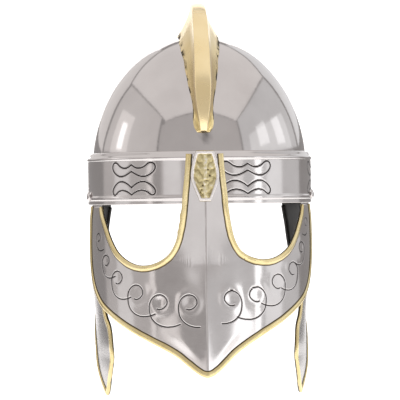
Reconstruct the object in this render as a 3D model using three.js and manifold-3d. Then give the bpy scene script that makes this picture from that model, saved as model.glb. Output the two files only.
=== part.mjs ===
// A crested steel helmet with a brow band, a face mask, two ear flaps and brass trim.
// Millimetres, +Z up, front towards -Y. The origin is the centre of the head opening, just under
// the brow band. Left and right are the wearer's, so left is +X.
import * as THREE from "three";
import { mergeVertices } from "three/addons/utils/BufferGeometryUtils.js";
import Module from "manifold-3d";

const wasm = await Module();
wasm.setup();

// ---------------------------------------------------------------- driving dimensions

const SHEET = 1.2; // steel sheet of bowl, band, mask and flaps
const GAP = 0.35; // air between neighbouring pieces

const BOWL = { halfWidth: 98, halfDepth: 113.4, rise: 125, centre: 30, rim: 3 };
const BAND = { halfWidth: 102.1, halfDepth: 117.1, bottom: 1.2, top: 47.6, taper: 2.4, border: 5.6 };
const BEAD = { rise: 0.6, halfWidth: 1.3 };
const CREST = { wall: 1, height: 28.2, tipAngle: 1.3, tipShare: 0.985 };
const CREST_POWER = { height: 0.75, flank: 1.7 }; // how its outline and its flanks draw in
const TRIM = { leg: 5, wall: 0.8, halfSlot: SHEET / 2 + GAP, start: 0.8 };
const MASK = { stripTop: 45, tabTop: 12, askew: 2.4, askewWidth: 60, askewDepth: 60 };
const FLAP = { tabTop: 12, tabFront: -36.8, tabRear: 64 };
const ORNAMENT = { bottom: 3.5, top: 47.5, rim: 2.2, crown: 3.6 };
const RIVET = { headRadius: 4.5, headHeight: 2.4, shankRadius: 2, grip: 9.1, height: 8.8 };
const RIVET_TAIL = { radius: 3.2, thickness: 1 };
const RIVET_HOLE = { radius: 2.5, length: 30, facets: 14 };

const ROUND_STEPS = 48; // facets round the bowl and the band
const TEMPLE_RIVET_ANGLE = THREE.MathUtils.degToRad(77);
const REAR_RIVET_ANGLE = THREE.MathUtils.degToRad(119);
const BAND_STRETCH = BAND.halfDepth / BAND.halfWidth;
const SIDES = { left: 1, right: -1 };

// ---------------------------------------------------------------- materials

const steel = () => new THREE.MeshStandardMaterial({ color: 0xb9b6b8, roughness: 0.22, metalness: 1 });
const brass = () => new THREE.MeshStandardMaterial({ color: 0xd9c27a, roughness: 0.28, metalness: 1 });
const paleBrass = () => new THREE.MeshStandardMaterial({ color: 0xc9c29c, roughness: 0.45, metalness: 1 });

// ---------------------------------------------------------------- helpers

// A smooth value through a few [position, value] pairs, constant beyond both ends.
function through(pairs) {
  const slopes = pairs.map((pair, i) => {
    const before = pairs[Math.max(i - 1, 0)];
    const after = pairs[Math.min(i + 1, pairs.length - 1)];
    return (after[1] - before[1]) / (after[0] - before[0]);
  });
  return (position) => {
    const at = THREE.MathUtils.clamp(position, pairs[0][0], pairs.at(-1)[0]);
    let i = 0;
    while (i < pairs.length - 2 && at > pairs[i + 1][0]) i += 1;
    const span = pairs[i + 1][0] - pairs[i][0];
    const u = (at - pairs[i][0]) / span;
    const start = (1 + 2 * u) * (1 - u) ** 2 * pairs[i][1] + u * (1 - u) ** 2 * span * slopes[i];
    return start + u * u * (3 - 2 * u) * pairs[i + 1][1] + u * u * (u - 1) * span * slopes[i + 1];
  };
}

// A closed solid between an outer and an inner net of points with the same rows and columns.
function slab(outer, inner) {
  const rows = outer.length;
  const columns = outer[0].length;
  const at = (row, column, side) => (side * rows + row) * columns + column;
  const faces = [];
  const quad = (a, b, c, d) => faces.push(a, b, c, a, c, d);
  for (let r = 0; r < rows - 1; r += 1) {
    for (let c = 0; c < columns - 1; c += 1) {
      quad(at(r, c, 0), at(r, c + 1, 0), at(r + 1, c + 1, 0), at(r + 1, c, 0));
      quad(at(r, c, 1), at(r + 1, c, 1), at(r + 1, c + 1, 1), at(r, c + 1, 1));
    }
    const last = columns - 1;
    quad(at(r, 0, 0), at(r + 1, 0, 0), at(r + 1, 0, 1), at(r, 0, 1));
    quad(at(r, last, 0), at(r, last, 1), at(r + 1, last, 1), at(r + 1, last, 0));
  }
  for (let c = 0; c < columns - 1; c += 1) {
    const last = rows - 1;
    quad(at(0, c, 0), at(0, c, 1), at(0, c + 1, 1), at(0, c + 1, 0));
    quad(at(last, c, 0), at(last, c + 1, 0), at(last, c + 1, 1), at(last, c, 1));
  }
  const geometry = new THREE.BufferGeometry().setFromPoints([...outer.flat(), ...inner.flat()]);
  geometry.setIndex(faces);
  if (signedVolume(geometry) < 0) geometry.setIndex(faces.reverse());
  geometry.computeVertexNormals();
  return geometry;
}

function signedVolume(geometry) {
  const position = geometry.getAttribute("position");
  const corner = [0, 1, 2].map(() => new THREE.Vector3());
  let volume = 0;
  for (let i = 0; i < geometry.index.count; i += 3) {
    corner.forEach((v, k) => v.fromBufferAttribute(position, geometry.index.getX(i + k)));
    volume += corner[0].dot(corner[1].cross(corner[2])) / 6;
  }
  return volume;
}

// The unit normal of a surface given as surface(u, v), on the side away from the helmet's axis.
function normalOf(surface, u, v) {
  const step = 0.01;
  const across = surface(u + step, v).sub(surface(u - step, v));
  const along = surface(u, v + step).sub(surface(u, v - step));
  const normal = across.cross(along).normalize();
  const at = surface(u, v);
  return at.x * normal.x + at.y * normal.y < 0 ? normal.negate() : normal;
}

const offsetPoint = (surface, u, v, distance) =>
  surface(u, v).addScaledVector(normalOf(surface, u, v), distance);

// A smooth curve through places on a sheet; each place is a pair of the surface's two coordinates.
function placesCurve(places) {
  return new THREE.CatmullRomCurve3(places.map(([u, v]) => new THREE.Vector3(u, v, 0)));
}

// The place on a sheet that lies a distance inside its border curve. The side says on which hand
// of the curve the sheet lies.
function placeInside(sheet, border, t, side, distance) {
  const step = 0.002;
  const place = border.getPoint(t);
  const ahead = border.getPoint(Math.min(t + step, 1));
  const behind = border.getPoint(Math.max(t - step, 0));
  const tangent = sheet.surface(ahead.x, ahead.y).sub(sheet.surface(behind.x, behind.y)).normalize();
  const inwards = normalOf(sheet.surface, place.x, place.y).cross(tangent).multiplyScalar(side);
  const moved = sheet.surface(place.x, place.y).addScaledVector(inwards, distance);
  return sheet.placeOf(moved);
}

// A folded channel that grips a sheet's border between two stations of its curve.
function channel(sheet, border, side, stations) {
  const outerReach = TRIM.halfSlot + TRIM.wall;
  const outerSection = [[TRIM.leg, outerReach], [0, outerReach], [0, -outerReach], [TRIM.leg, -outerReach]];
  const innerSection = [
    [TRIM.leg, TRIM.halfSlot],
    [TRIM.wall, TRIM.halfSlot],
    [TRIM.wall, -TRIM.halfSlot],
    [TRIM.leg, -TRIM.halfSlot],
  ];
  const sweep = (section) =>
    stations.map((t) =>
      section.map(([inside, reach]) => {
        const [u, v] = placeInside(sheet, border, t, side, inside);
        return offsetPoint(sheet.surface, u, v, reach);
      }),
    );
  return slab(sweep(outerSection), sweep(innerSection));
}

const steps = (count) => Array.from({ length: count + 1 }, (_, i) => i / count);

// A sheet of even thickness over a net of places.
function sheetSolid(surface, net) {
  const face = (distance) => net.map((row) => row.map(([u, v]) => offsetPoint(surface, u, v, distance)));
  return slab(face(SHEET / 2), face(-SHEET / 2));
}

function between([u0, v0], [u1, v1], fraction) {
  return [u0 + (u1 - u0) * fraction, v0 + (v1 - v0) * fraction];
}

function toSolid(geometry) {
  const bare = geometry.clone();
  bare.deleteAttribute("normal");
  bare.deleteAttribute("uv");
  const merged = mergeVertices(bare, 1e-4);
  const vertProperties = new Float32Array(merged.getAttribute("position").array);
  return new wasm.Manifold(
    new wasm.Mesh({ numProp: 3, vertProperties, triVerts: new Uint32Array(merged.index.array) }),
  );
}

function fromSolid(solid) {
  const mesh = solid.getMesh();
  const geometry = new THREE.BufferGeometry();
  geometry.setAttribute("position", new THREE.BufferAttribute(mesh.vertProperties, 3));
  geometry.setIndex(new THREE.BufferAttribute(mesh.triVerts, 1));
  geometry.computeVertexNormals();
  return geometry;
}

function namedMesh(name, geometry, material) {
  const mesh = new THREE.Mesh(geometry, material);
  mesh.name = name;
  return mesh;
}

// ---------------------------------------------------------------- bowl and brow band

function bowlGeometry() {
  const wallArc = (inset) => {
    const rise = BOWL.rise - inset;
    const lowest = Math.acos((BOWL.rim - BOWL.centre) / rise);
    return steps(8).map((f) => {
      const angle = lowest * (1 - f);
      const reach = (BOWL.halfWidth - inset) * Math.sin(angle);
      return new THREE.Vector2(reach, BOWL.centre + rise * Math.cos(angle));
    });
  };
  const outer = wallArc(0);
  const inner = wallArc(SHEET).reverse();
  outer.at(-1).x = 0;
  inner[0].x = 0;
  const profile = [...inner, ...outer];
  return new THREE.LatheGeometry(profile, ROUND_STEPS)
    .rotateX(Math.PI / 2)
    .scale(1, BOWL.halfDepth / BOWL.halfWidth, 1);
}

function bandGeometry() {
  const reach = BAND.halfWidth;
  const edge = SHEET / 2;
  const bead = (centre) => [
    [reach, centre - BEAD.halfWidth],
    [reach + BEAD.rise, centre],
    [reach, centre + BEAD.halfWidth],
  ];
  const lowerBorder = BAND.bottom + BAND.border;
  const upperBorder = BAND.top - BAND.border;
  const outside = [
    [reach - edge, BAND.bottom],
    [reach, BAND.bottom + edge],
    ...bead(lowerBorder),
    ...bead(upperBorder),
    [reach - BAND.taper, BAND.top],
  ];
  const inside = [
    [reach - BAND.taper - SHEET, BAND.top],
    [reach - SHEET, upperBorder + BEAD.halfWidth],
    [reach - SHEET, BAND.bottom],
  ];
  const profile = [...outside, ...inside, outside[0]].map(([x, y]) => new THREE.Vector2(x, y));
  return new THREE.LatheGeometry(profile, ROUND_STEPS).rotateX(Math.PI / 2).scale(1, BAND_STRETCH, 1);
}

// ---------------------------------------------------------------- crest

// The crest follows the middle line of the bowl, from one tip angle to the other. Its section
// is a flat strip on two hollow flanks that flare out to the bowl, open underneath.
const crestHalfBase = through([
  [0, 18.9], [0.2, 18.4], [0.4, 16.9], [0.6, 14.2], [0.75, 10.9], [0.85, 9.1], [0.92, 9.4], [0.96, 8.5],
  [0.985, 6],
]);
const crestHalfStrip = through([
  [0, 6.2], [0.4, 6.6], [0.7, 7], [0.76, 6.9], [0.85, 5.8], [0.92, 4.1], [0.985, 2.4],
]);

function crestGeometry() {
  const stations = steps(26).map((f) => 2 * f - 1);
  const levels = [0, 0.2, 0.45, 0.75, 1];
  const bowlPoint = (x, angle, height) => {
    const shrink = Math.sqrt(1 - (x / BOWL.halfWidth) ** 2);
    const outwards = new THREE.Vector3(0, Math.sin(angle) / BOWL.halfDepth, Math.cos(angle) / BOWL.rise);
    const foot = new THREE.Vector3(
      x,
      BOWL.halfDepth * shrink * Math.sin(angle),
      BOWL.centre + BOWL.rise * shrink * Math.cos(angle),
    );
    return foot.addScaledVector(outwards.normalize(), height);
  };
  const row = (station, inset) => {
    const share = station * CREST.tipShare;
    const height = CREST.height * (1 - share ** 2) ** CREST_POWER.height;
    const halfBase = crestHalfBase(Math.abs(share));
    const halfStrip = crestHalfStrip(Math.abs(share));
    const roof = height - inset;
    const half = levels.map((level) => {
      const lift = GAP + level * (roof - GAP);
      const depth = Math.max(1 - lift / height, 0);
      const width = halfStrip + (halfBase - halfStrip) * depth ** CREST_POWER.flank;
      const lean = (CREST_POWER.flank * (halfBase - halfStrip) * depth ** (CREST_POWER.flank - 1)) / height;
      return [Math.max(width - inset * Math.hypot(1, lean), width / 3), lift];
    });
    const mirrored = half.map(([x, lift]) => [-x, lift]).reverse();
    const angle = station * CREST.tipAngle;
    return [...half, [0, roof], ...mirrored].map(([x, lift]) => bowlPoint(x, angle, lift));
  };
  return slab(
    stations.map((station) => row(station, 0)),
    stations.map((station) => row(station, CREST.wall)),
  );
}

// ---------------------------------------------------------------- face mask

// Each level of the mask is an ellipse with a folded ridge in front: two flat facets run from the
// ridge until they touch the ellipse, and the nose strip stands further forward, to clear the
// band. Its coordinates are hundredths of a radian round the ellipse, and the height.
const maskHalfWidth = through([
  [-147, 98], [-100, 100.2], [-60, 101], [-30, 101.2], [-12, 101], [0, 99.8], [12, 99.9],
]);
const maskHalfDepth = through([[-147, 121], [-100, 119.4], [-50, 118], [-15, 115], [0, 114], [12, 114]]);
const facetSlope = through([[-147, 0.62], [-100, 0.55], [-50, 0.45], [0, 0.36], [48, 0.36]]);
const stripLift = through([[-48, 0], [-24, 3], [0, 6], [48, 6]]);
const PER_RADIAN = 100;

const mask = {
  surface(u, z) {
    const angle = u / PER_RADIAN;
    const sideways = Math.sin(angle);
    const facetDepth = maskHalfWidth(z) * facetSlope(z);
    const ridge = Math.hypot(maskHalfDepth(z), facetDepth);
    const isFacet = Math.abs(sideways) < facetDepth / ridge;
    const onFacet = ridge + stripLift(z) - facetDepth * Math.abs(sideways);
    const forwards = isFacet ? onFacet : maskHalfDepth(z) * Math.cos(angle);
    return new THREE.Vector3(maskHalfWidth(z) * sideways, -forwards, z);
  },
  placeOf(point) {
    const sideways = point.x / maskHalfWidth(point.z);
    const forwards = THREE.MathUtils.clamp(-point.y / maskHalfDepth(point.z), -1, 1);
    const nearFront = Math.abs(sideways) < 0.8;
    const angle = nearFront ? Math.asin(sideways) : Math.sign(sideways) * Math.acos(forwards);
    return [angle * PER_RADIAN, point.z];
  },
};

// The border of an eye opening, from the top of the nose strip round to the temple, and the lower
// edge from the chin to the temple, as [sideways, height]. Each point of the one faces the
// point of the other with the same place in its list, apart from the chin itself.
const EYE_BORDER = [
  [16.2, 45], [17.3, 29.5], [19.6, 8.2], [20.8, -5.5], [23, -19.4], [26, -31], [31, -40], [37, -45],
  [45.5, -48.6], [53, -49.6], [60, -48.7], [67.8, -45], [75.5, -38], [81.4, -27], [84.4, -18.5],
  [86.6, -11.5], [88, -5.5], [88.7, 0],
];
const LOWER_BORDER = [
  [0, -148.5], [5, -147.2], [9, -144.8], [13.5, -141.2], [18, -137.3], [24, -132], [30.5, -127.3],
  [38, -122.8], [45.5, -118.6], [52.5, -114.7], [59.5, -110.8], [66, -107], [74.5, -101.2], [83, -94.2],
  [91, -85], [96.2, -70], [98.4, -52], [98.9, -34], [98.6, -16], [97.4, 0],
];

// The mask hangs a little lower on the wearer's right.
function maskPlace(side, [x, z]) {
  const outwards = THREE.MathUtils.smoothstep(x, 0, MASK.askewWidth);
  const downwards = THREE.MathUtils.smoothstep(-z, 0, MASK.askewDepth);
  const height = z + side * MASK.askew * outwards * downwards;
  return [side * PER_RADIAN * Math.asin(x / maskHalfWidth(height)), height];
}

const maskPlaces = (side, points) => points.map((point) => maskPlace(side, point));
const eyeBorder = {
  [SIDES.left]: placesCurve(maskPlaces(SIDES.left, EYE_BORDER)),
  [SIDES.right]: placesCurve(maskPlaces(SIDES.right, EYE_BORDER)),
};
const lowerBorder = placesCurve([
  ...maskPlaces(SIDES.right, LOWER_BORDER.slice(1)).reverse(),
  ...maskPlaces(SIDES.left, LOWER_BORDER),
]);

const FACING_PAIRS = EYE_BORDER.length;
const SHEET_EDGE = TRIM.wall + GAP; // how far inside the channel's outer border the sheet ends

function maskColumn(side, pair) {
  const rows = steps(9);
  const alongLower = 0.5 + (side * pair) / (2 * FACING_PAIRS);
  const alongEye = Math.max(pair - 1, 0) / (FACING_PAIRS - 1);
  const foot = placeInside(mask, lowerBorder, alongLower, 1, SHEET_EDGE);
  const head = placeInside(mask, eyeBorder[side], alongEye, -side, SHEET_EDGE);
  if (pair < 1) head[0] *= pair;
  if (pair <= 1) head[1] = MASK.stripTop;
  return rows.map((fraction) => between(foot, head, fraction));
}

// The tab that reaches up behind the band, above the last pair.
function maskTabColumns(side) {
  const last = maskColumn(side, FACING_PAIRS);
  const foot = last[0];
  const head = last.at(-1);
  return [0, MASK.tabTop / 2, MASK.tabTop].map((z) =>
    steps(last.length - 1).map((fraction) => [between(foot, head, fraction)[0], z]),
  );
}

function maskNet(side) {
  const columns = [];
  for (let pair = 0; pair < FACING_PAIRS; pair += 0.5) columns.push(maskColumn(side, pair));
  return [...columns, ...maskTabColumns(side)];
}

function maskGeometry() {
  const rightHalf = maskNet(SIDES.right).slice(1).reverse();
  return sheetSolid(mask.surface, [...rightHalf, ...maskNet(SIDES.left)]);
}

// The place along a border, as a share of it, where it comes down to the channel's upper end.
function shareAtHeight(border, height) {
  const places = steps(400);
  return places.findLast((t) => border.getPoint(t).y <= height);
}

// The channels bend at the same stations as the sheet, so that the gap between them stays even.
function eyeTrimGeometry(side) {
  const end = shareAtHeight(eyeBorder[side], TRIM.start);
  const stations = steps(2 * (FACING_PAIRS - 1)).map((t) => Math.min(t, end));
  return channel(mask, eyeBorder[side], -side, stations);
}

function maskEdgeTrimGeometry() {
  const end = shareAtHeight(lowerBorder, TRIM.start);
  const stations = steps(4 * FACING_PAIRS).map((t) => THREE.MathUtils.clamp(t, 1 - end, end));
  return channel(mask, lowerBorder, 1, stations);
}

// ---------------------------------------------------------------- ear flaps

// A flap's coordinates are the distance behind the helmet's middle, and the height.
const flapHalfWidth = through([
  [-166, 94], [-145, 96], [-120, 95.2], [-100, 95.2], [-86, 96.2], [-66, 98.5], [-41, 99.8],
  [-20, 99.2], [-10, 98], [0, 96.8], [4, 97.1], [12, 97.8],
]);
const flapBendFront = through([
  [-166, 133], [-136, 127], [-122, 131], [-105, 124], [-96, 118], [-80, 104], [-60, 95], [-20, 92],
  [-8, 100], [0, 112], [12, 113],
]);
const flapBendRear = 113;

const flapSheet = (side) => ({
  surface(y, z) {
    const bend = y < 0 ? flapBendFront(z) : flapBendRear;
    return new THREE.Vector3(side * flapHalfWidth(z) * Math.sqrt(1 - (y / bend) ** 2), y, z);
  },
  placeOf: (point) => [point.y, point.z],
});

// The flap's outline from the front of its tab down to the point and up to the rear of its tab,
// as [distance behind the middle, height].
const FLAP_FRONT = [
  [-38, 0], [-38, -30], [-39, -60], [-43, -82], [-51, -96], [-61, -106], [-68, -121], [-68.5, -137],
  [-64.3, -153], [-58.4, -164.6],
];
const FLAP_POINT = [[-54, -168]];
const FLAP_REAR = [
  [-49.5, -165.6], [-38.5, -155.5], [-27, -142.2], [-17, -128], [-6, -117], [12, -104], [32, -89],
  [49, -66], [60, -35], [64, 0],
];

const flapBorder = placesCurve([...FLAP_FRONT, ...FLAP_POINT, ...FLAP_REAR]);

function flapGeometry(side) {
  const sheet = flapSheet(side);
  const rungs = 16;
  const deepest = 0.485;
  const columns = steps(8);
  const net = steps(rungs).map((f) => {
    const front = placeInside(sheet, flapBorder, f * deepest, side, SHEET_EDGE);
    const rear = placeInside(sheet, flapBorder, 1 - f * deepest, side, SHEET_EDGE);
    return columns.map((fraction) => between(front, rear, fraction));
  });
  const tab = [FLAP.tabTop, FLAP.tabTop / 2].map((z) =>
    columns.map((fraction) => [between([FLAP.tabFront, z], [FLAP.tabRear, z], fraction)[0], z]),
  );
  return sheetSolid(sheet.surface, [...tab, ...net]);
}

function flapTrimGeometry(side) {
  const start = 0.002;
  const stations = steps(40).map((t) => start + t * (1 - 2 * start));
  return channel(flapSheet(side), flapBorder, side, stations);
}

// ---------------------------------------------------------------- brow ornament

const ornamentHalfWidth = through([[3.5, 4.2], [10, 6.9], [20, 10.8], [26, 11.8], [36, 10.4], [47.5, 7]]);

function ornamentGeometry() {
  const strip = SHEET / 2 + GAP;
  const net = (lift) =>
    steps(8).map((f) => {
      const z = THREE.MathUtils.lerp(ORNAMENT.bottom, ORNAMENT.top, f);
      return steps(8).map((g) => {
        const across = 2 * g - 1;
        const angle = Math.asin((across * ornamentHalfWidth(z)) / maskHalfWidth(z));
        return offsetPoint(mask.surface, angle * PER_RADIAN, z, strip + lift(across));
      });
    });
  const crown = (across) => ORNAMENT.rim + (ORNAMENT.crown - ORNAMENT.rim) * (1 - across ** 2);
  return slab(net(crown), net(() => 0));
}

// ---------------------------------------------------------------- rivets

function rivetGeometry() {
  const head = steps(4).map((f) => {
    const angle = (f * Math.PI) / 2;
    return new THREE.Vector2(RIVET.headRadius * Math.sin(angle), RIVET.headHeight * Math.cos(angle));
  });
  head[0].x = 0;
  const shankAndTail = [
    [RIVET.shankRadius, 0],
    [RIVET.shankRadius, -RIVET.grip],
    [RIVET_TAIL.radius, -RIVET.grip],
    [RIVET_TAIL.radius, -RIVET.grip - RIVET_TAIL.thickness],
    [0, -RIVET.grip - RIVET_TAIL.thickness],
  ].map(([x, y]) => new THREE.Vector2(x, y));
  return new THREE.LatheGeometry([...head, ...shankAndTail].reverse(), 12).rotateX(Math.PI / 2);
}

// Where a rivet sits: on the band, at an angle round from the front, pointing out of it.
function rivetSeat(side, angle) {
  const position = new THREE.Vector3(
    side * BAND.halfWidth * Math.sin(angle),
    -BAND.halfDepth * Math.cos(angle),
    RIVET.height,
  );
  const outwards = new THREE.Vector3(
    side * BAND.halfDepth * Math.sin(angle),
    -BAND.halfWidth * Math.cos(angle),
    0,
  ).normalize();
  const turn = new THREE.Quaternion().setFromUnitVectors(new THREE.Vector3(0, 0, 1), outwards);
  return { position, outwards, turn };
}

function rivetMesh(name, seat) {
  const mesh = namedMesh(name, rivetGeometry(), steel());
  mesh.position.copy(seat.position).addScaledVector(seat.outwards, BEAD.rise + GAP);
  mesh.quaternion.copy(seat.turn);
  return mesh;
}

// A sheet with a clear hole for each rivet that passes through it.
function pierced(geometry, seats) {
  let solid = toSolid(geometry);
  for (const seat of seats) {
    const { radius, length, facets } = RIVET_HOLE;
    const hole = new THREE.CylinderGeometry(radius, radius, length, facets);
    hole.rotateX(Math.PI / 2).applyQuaternion(seat.turn);
    hole.translate(seat.position.x, seat.position.y, seat.position.z);
    solid = solid.subtract(toSolid(hole));
  }
  return fromSolid(solid);
}

// ---------------------------------------------------------------- assembly

const seatsOf = (side) => [rivetSeat(side, TEMPLE_RIVET_ANGLE), rivetSeat(side, REAR_RIVET_ANGLE)];
const allSeats = [...seatsOf(SIDES.left), ...seatsOf(SIDES.right)];
const templeSeats = [seatsOf(SIDES.left)[0], seatsOf(SIDES.right)[0]];

const helmet = new THREE.Group();
helmet.add(namedMesh("bowl", pierced(bowlGeometry(), allSeats), steel()));
helmet.add(namedMesh("brow_band", pierced(bandGeometry(), allSeats), steel()));
helmet.add(namedMesh("crest", crestGeometry(), brass()));
helmet.add(namedMesh("face_mask", pierced(maskGeometry(), templeSeats), steel()));
helmet.add(namedMesh("mask_edge_trim", maskEdgeTrimGeometry(), brass()));
helmet.add(namedMesh("brow_ornament", ornamentGeometry(), paleBrass()));

for (const [name, side] of Object.entries(SIDES)) {
  const [temple, rear] = seatsOf(side);
  helmet.add(namedMesh(`eye_trim_${name}`, eyeTrimGeometry(side), brass()));
  helmet.add(namedMesh(`ear_flap_${name}`, pierced(flapGeometry(side), [temple, rear]), steel()));
  helmet.add(namedMesh(`flap_trim_${name}`, flapTrimGeometry(side), brass()));
  helmet.add(rivetMesh(`temple_rivet_${name}`, temple));
  helmet.add(rivetMesh(`rear_rivet_${name}`, rear));
}

export default helmet;
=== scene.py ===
import math

import bmesh
import bpy
import numpy as np
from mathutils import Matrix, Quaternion, Vector


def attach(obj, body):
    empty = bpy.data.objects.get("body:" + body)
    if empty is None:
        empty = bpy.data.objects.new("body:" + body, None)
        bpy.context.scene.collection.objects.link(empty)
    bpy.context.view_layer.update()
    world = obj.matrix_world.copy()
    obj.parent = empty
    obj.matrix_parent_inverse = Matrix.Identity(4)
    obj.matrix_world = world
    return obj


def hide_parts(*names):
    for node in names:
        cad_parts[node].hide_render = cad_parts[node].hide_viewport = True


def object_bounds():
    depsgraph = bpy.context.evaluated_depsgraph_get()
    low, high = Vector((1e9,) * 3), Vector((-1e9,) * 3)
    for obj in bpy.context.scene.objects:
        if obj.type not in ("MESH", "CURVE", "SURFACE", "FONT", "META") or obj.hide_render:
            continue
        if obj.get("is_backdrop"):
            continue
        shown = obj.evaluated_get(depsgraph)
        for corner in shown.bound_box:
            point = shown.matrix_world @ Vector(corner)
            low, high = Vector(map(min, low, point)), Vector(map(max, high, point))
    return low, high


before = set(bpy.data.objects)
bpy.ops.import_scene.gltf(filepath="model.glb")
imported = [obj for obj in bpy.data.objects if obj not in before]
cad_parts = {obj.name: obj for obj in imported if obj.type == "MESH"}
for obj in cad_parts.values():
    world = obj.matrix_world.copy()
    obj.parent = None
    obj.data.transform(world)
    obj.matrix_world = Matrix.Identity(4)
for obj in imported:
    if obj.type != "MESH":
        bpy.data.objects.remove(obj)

BOUNDS_AT_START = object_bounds()

# ---------------------------------------------------------------- sizes

MILLIMETRE = 0.001
SHEET = 1.2
GAP = 0.35

BOWL = {"half_width": 98, "half_depth": 113.4, "rise": 125, "centre": 30, "rim": 3}
BAND = {"half_width": 102.1, "half_depth": 117.1, "bottom": 1.2, "top": 47.6, "taper": 2.4, "border": 5.6}
BEAD = {"rise": 0.75, "half_width": 1.9}
CREST = {"wall": 1, "height": 28.2, "tip_angle": 1.3, "tip_share": 0.985, "clearance": GAP * 0.4}
CREST_POWER = {"height": 0.75, "flank": 1.7}
TRIM = {"leg": 5.3, "wall": 0.8, "reach": 1.85, "start": 0.8}
TRIM_STEPS = {"eye": 320, "mask_edge": 640, "flap": 420}
MASK = {"strip_top": 45, "tab_top": 12, "askew": 2.4, "askew_width": 60, "askew_depth": 60, "dents": 0.55}
FACET = {"bulge": 0.5, "chin_bulge": 0.35}
FLAP = {"tab_top": 12, "tab_front": -36.8, "tab_rear": 64, "bend_rear": 113, "tip_share": 0.485}
ORNAMENT = {"bottom": 3.5, "top": 47.5, "edge": 1.2, "rim": 3.2, "leaf": 0.75, "rib_spacing": 8.4}
RIVET = {"radius": 4.5, "height": 2.4, "shank": 2, "grip": 9.1, "level": 8.8}
RIVET_TAIL = {"radius": 3.2, "height": 1}
RIVET_ANGLES = {"temple": math.radians(77), "rear": math.radians(119)}
SIDES = {"left": 1, "right": -1}

# Engraved lines: half their width in the band and in the mask, and how deep they are cut.
ENGRAVING = {"band": 0.75, "mask": 0.62, "depth": 0.4}

# Where the smear from soldering lies, in front of the crest's lower end, and how dark it is.
SOOT = {"x": 1.5, "width": 6, "level": 61, "height": 8, "strength": 0.24}

RANDOM_SEED = 7

# ---------------------------------------------------------------- curves and surfaces


def through(pairs):
    """A smooth value through a few (position, value) pairs, constant beyond both ends."""
    at = np.array([pair[0] for pair in pairs], float)
    value = np.array([pair[1] for pair in pairs], float)
    before = np.maximum(np.arange(len(at)) - 1, 0)
    after = np.minimum(np.arange(len(at)) + 1, len(at) - 1)
    slope = (value[after] - value[before]) / (at[after] - at[before])

    def curve(position):
        x = np.clip(position, at[0], at[-1])
        i = np.clip(np.searchsorted(at, x) - 1, 0, len(at) - 2)
        span = at[i + 1] - at[i]
        u = (x - at[i]) / span
        start = (1 + 2 * u) * (1 - u) ** 2 * value[i] + u * (1 - u) ** 2 * span * slope[i]
        end = u * u * (3 - 2 * u) * value[i + 1] + u * u * (u - 1) * span * slope[i + 1]
        return start + end

    return curve


def places_curve(places):
    """A centripetal curve through places on a sheet, from share 0 to share 1."""
    known = np.array(places, float)
    known = np.vstack([2 * known[0] - known[1], known, 2 * known[-1] - known[-2]])
    last = len(places) - 2

    def curve(share):
        along = np.clip(share, 0, 1) * (last + 1)
        i = np.clip(np.floor(along).astype(int), 0, last)
        u = (along - i)[..., None]
        p0, p1, p2, p3 = known[i], known[i + 1], known[i + 2], known[i + 3]
        d0, d1, d2 = [
            np.sqrt(np.linalg.norm(b - a, axis=-1))[..., None] for a, b in ((p0, p1), (p1, p2), (p2, p3))
        ]
        t1 = ((p1 - p0) / d0 - (p2 - p0) / (d0 + d1) + (p2 - p1) / d1) * d1
        t2 = ((p2 - p1) / d1 - (p3 - p1) / (d1 + d2) + (p3 - p2) / d2) * d1
        square = -3 * p1 + 3 * p2 - 2 * t1 - t2
        cube = 2 * p1 - 2 * p2 + t1 + t2
        return p1 + t1 * u + square * u**2 + cube * u**3

    return curve


def unit(vectors):
    return vectors / np.linalg.norm(vectors, axis=-1, keepdims=True)


def normal_of(surface, u, v):
    """The unit normals of a surface, on the side away from the helmet's axis."""
    step = 0.01
    across = surface(u + step, v) - surface(u - step, v)
    along = surface(u, v + step) - surface(u, v - step)
    normal = unit(np.cross(across, along))
    point = surface(u, v)
    inwards = point[..., 0] * normal[..., 0] + point[..., 1] * normal[..., 1] < 0
    return np.where(inwards[..., None], -normal, normal)


def offset(surface, u, v, distance):
    distance = np.asarray(distance, float)
    return surface(u, v) + normal_of(surface, u, v) * distance[..., None]


def place_inside(sheet, border, share, side, distance):
    """Places on a sheet that lie a distance inside its border curve."""
    surface, place_of = sheet
    step = 0.002
    share, distance = np.broadcast_arrays(np.asarray(share, float), np.asarray(distance, float))
    place = border(share)
    ahead = border(np.minimum(share + step, 1))
    behind = border(np.maximum(share - step, 0))
    tangent = unit(surface(ahead[..., 0], ahead[..., 1]) - surface(behind[..., 0], behind[..., 1]))
    inwards = side * np.cross(normal_of(surface, place[..., 0], place[..., 1]), tangent)
    moved = surface(place[..., 0], place[..., 1]) + inwards * distance[..., None]
    return place_of(moved)


def smooth_step(value, low, high):
    share = np.clip((value - low) / (high - low), 0, 1)
    return share * share * (3 - 2 * share)


def waves(points, length, seed):
    """Gentle unevenness between -1 and 1, with swells about a length apart."""
    random = np.random.default_rng(RANDOM_SEED + seed)
    total = np.zeros(points.shape[:-1])
    count = 7
    for _ in range(count):
        direction = unit(random.normal(size=3)) * 2 * math.pi / (length * random.uniform(0.7, 1.5))
        total += np.sin(points @ direction + random.uniform(0, 2 * math.pi))
    return total / count * 1.6


def groove(across, up, paths, half_width):
    """How deep each place lies in engraved lines, from 0 outside them to 1 on their middle."""
    nearest = np.full(across.shape, np.inf)
    for path in paths:
        for (x0, y0), (x1, y1) in zip(path[:-1], path[1:]):
            dx, dy = x1 - x0, y1 - y0
            share = ((across - x0) * dx + (up - y0) * dy) / (dx * dx + dy * dy)
            share = np.clip(share, 0, 1)
            distance = (across - x0 - share * dx) ** 2 + (up - y0 - share * dy) ** 2
            nearest = np.minimum(nearest, distance)
    return np.clip(1 - nearest / half_width**2, 0, 1)


# ---------------------------------------------------------------- meshes


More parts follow.
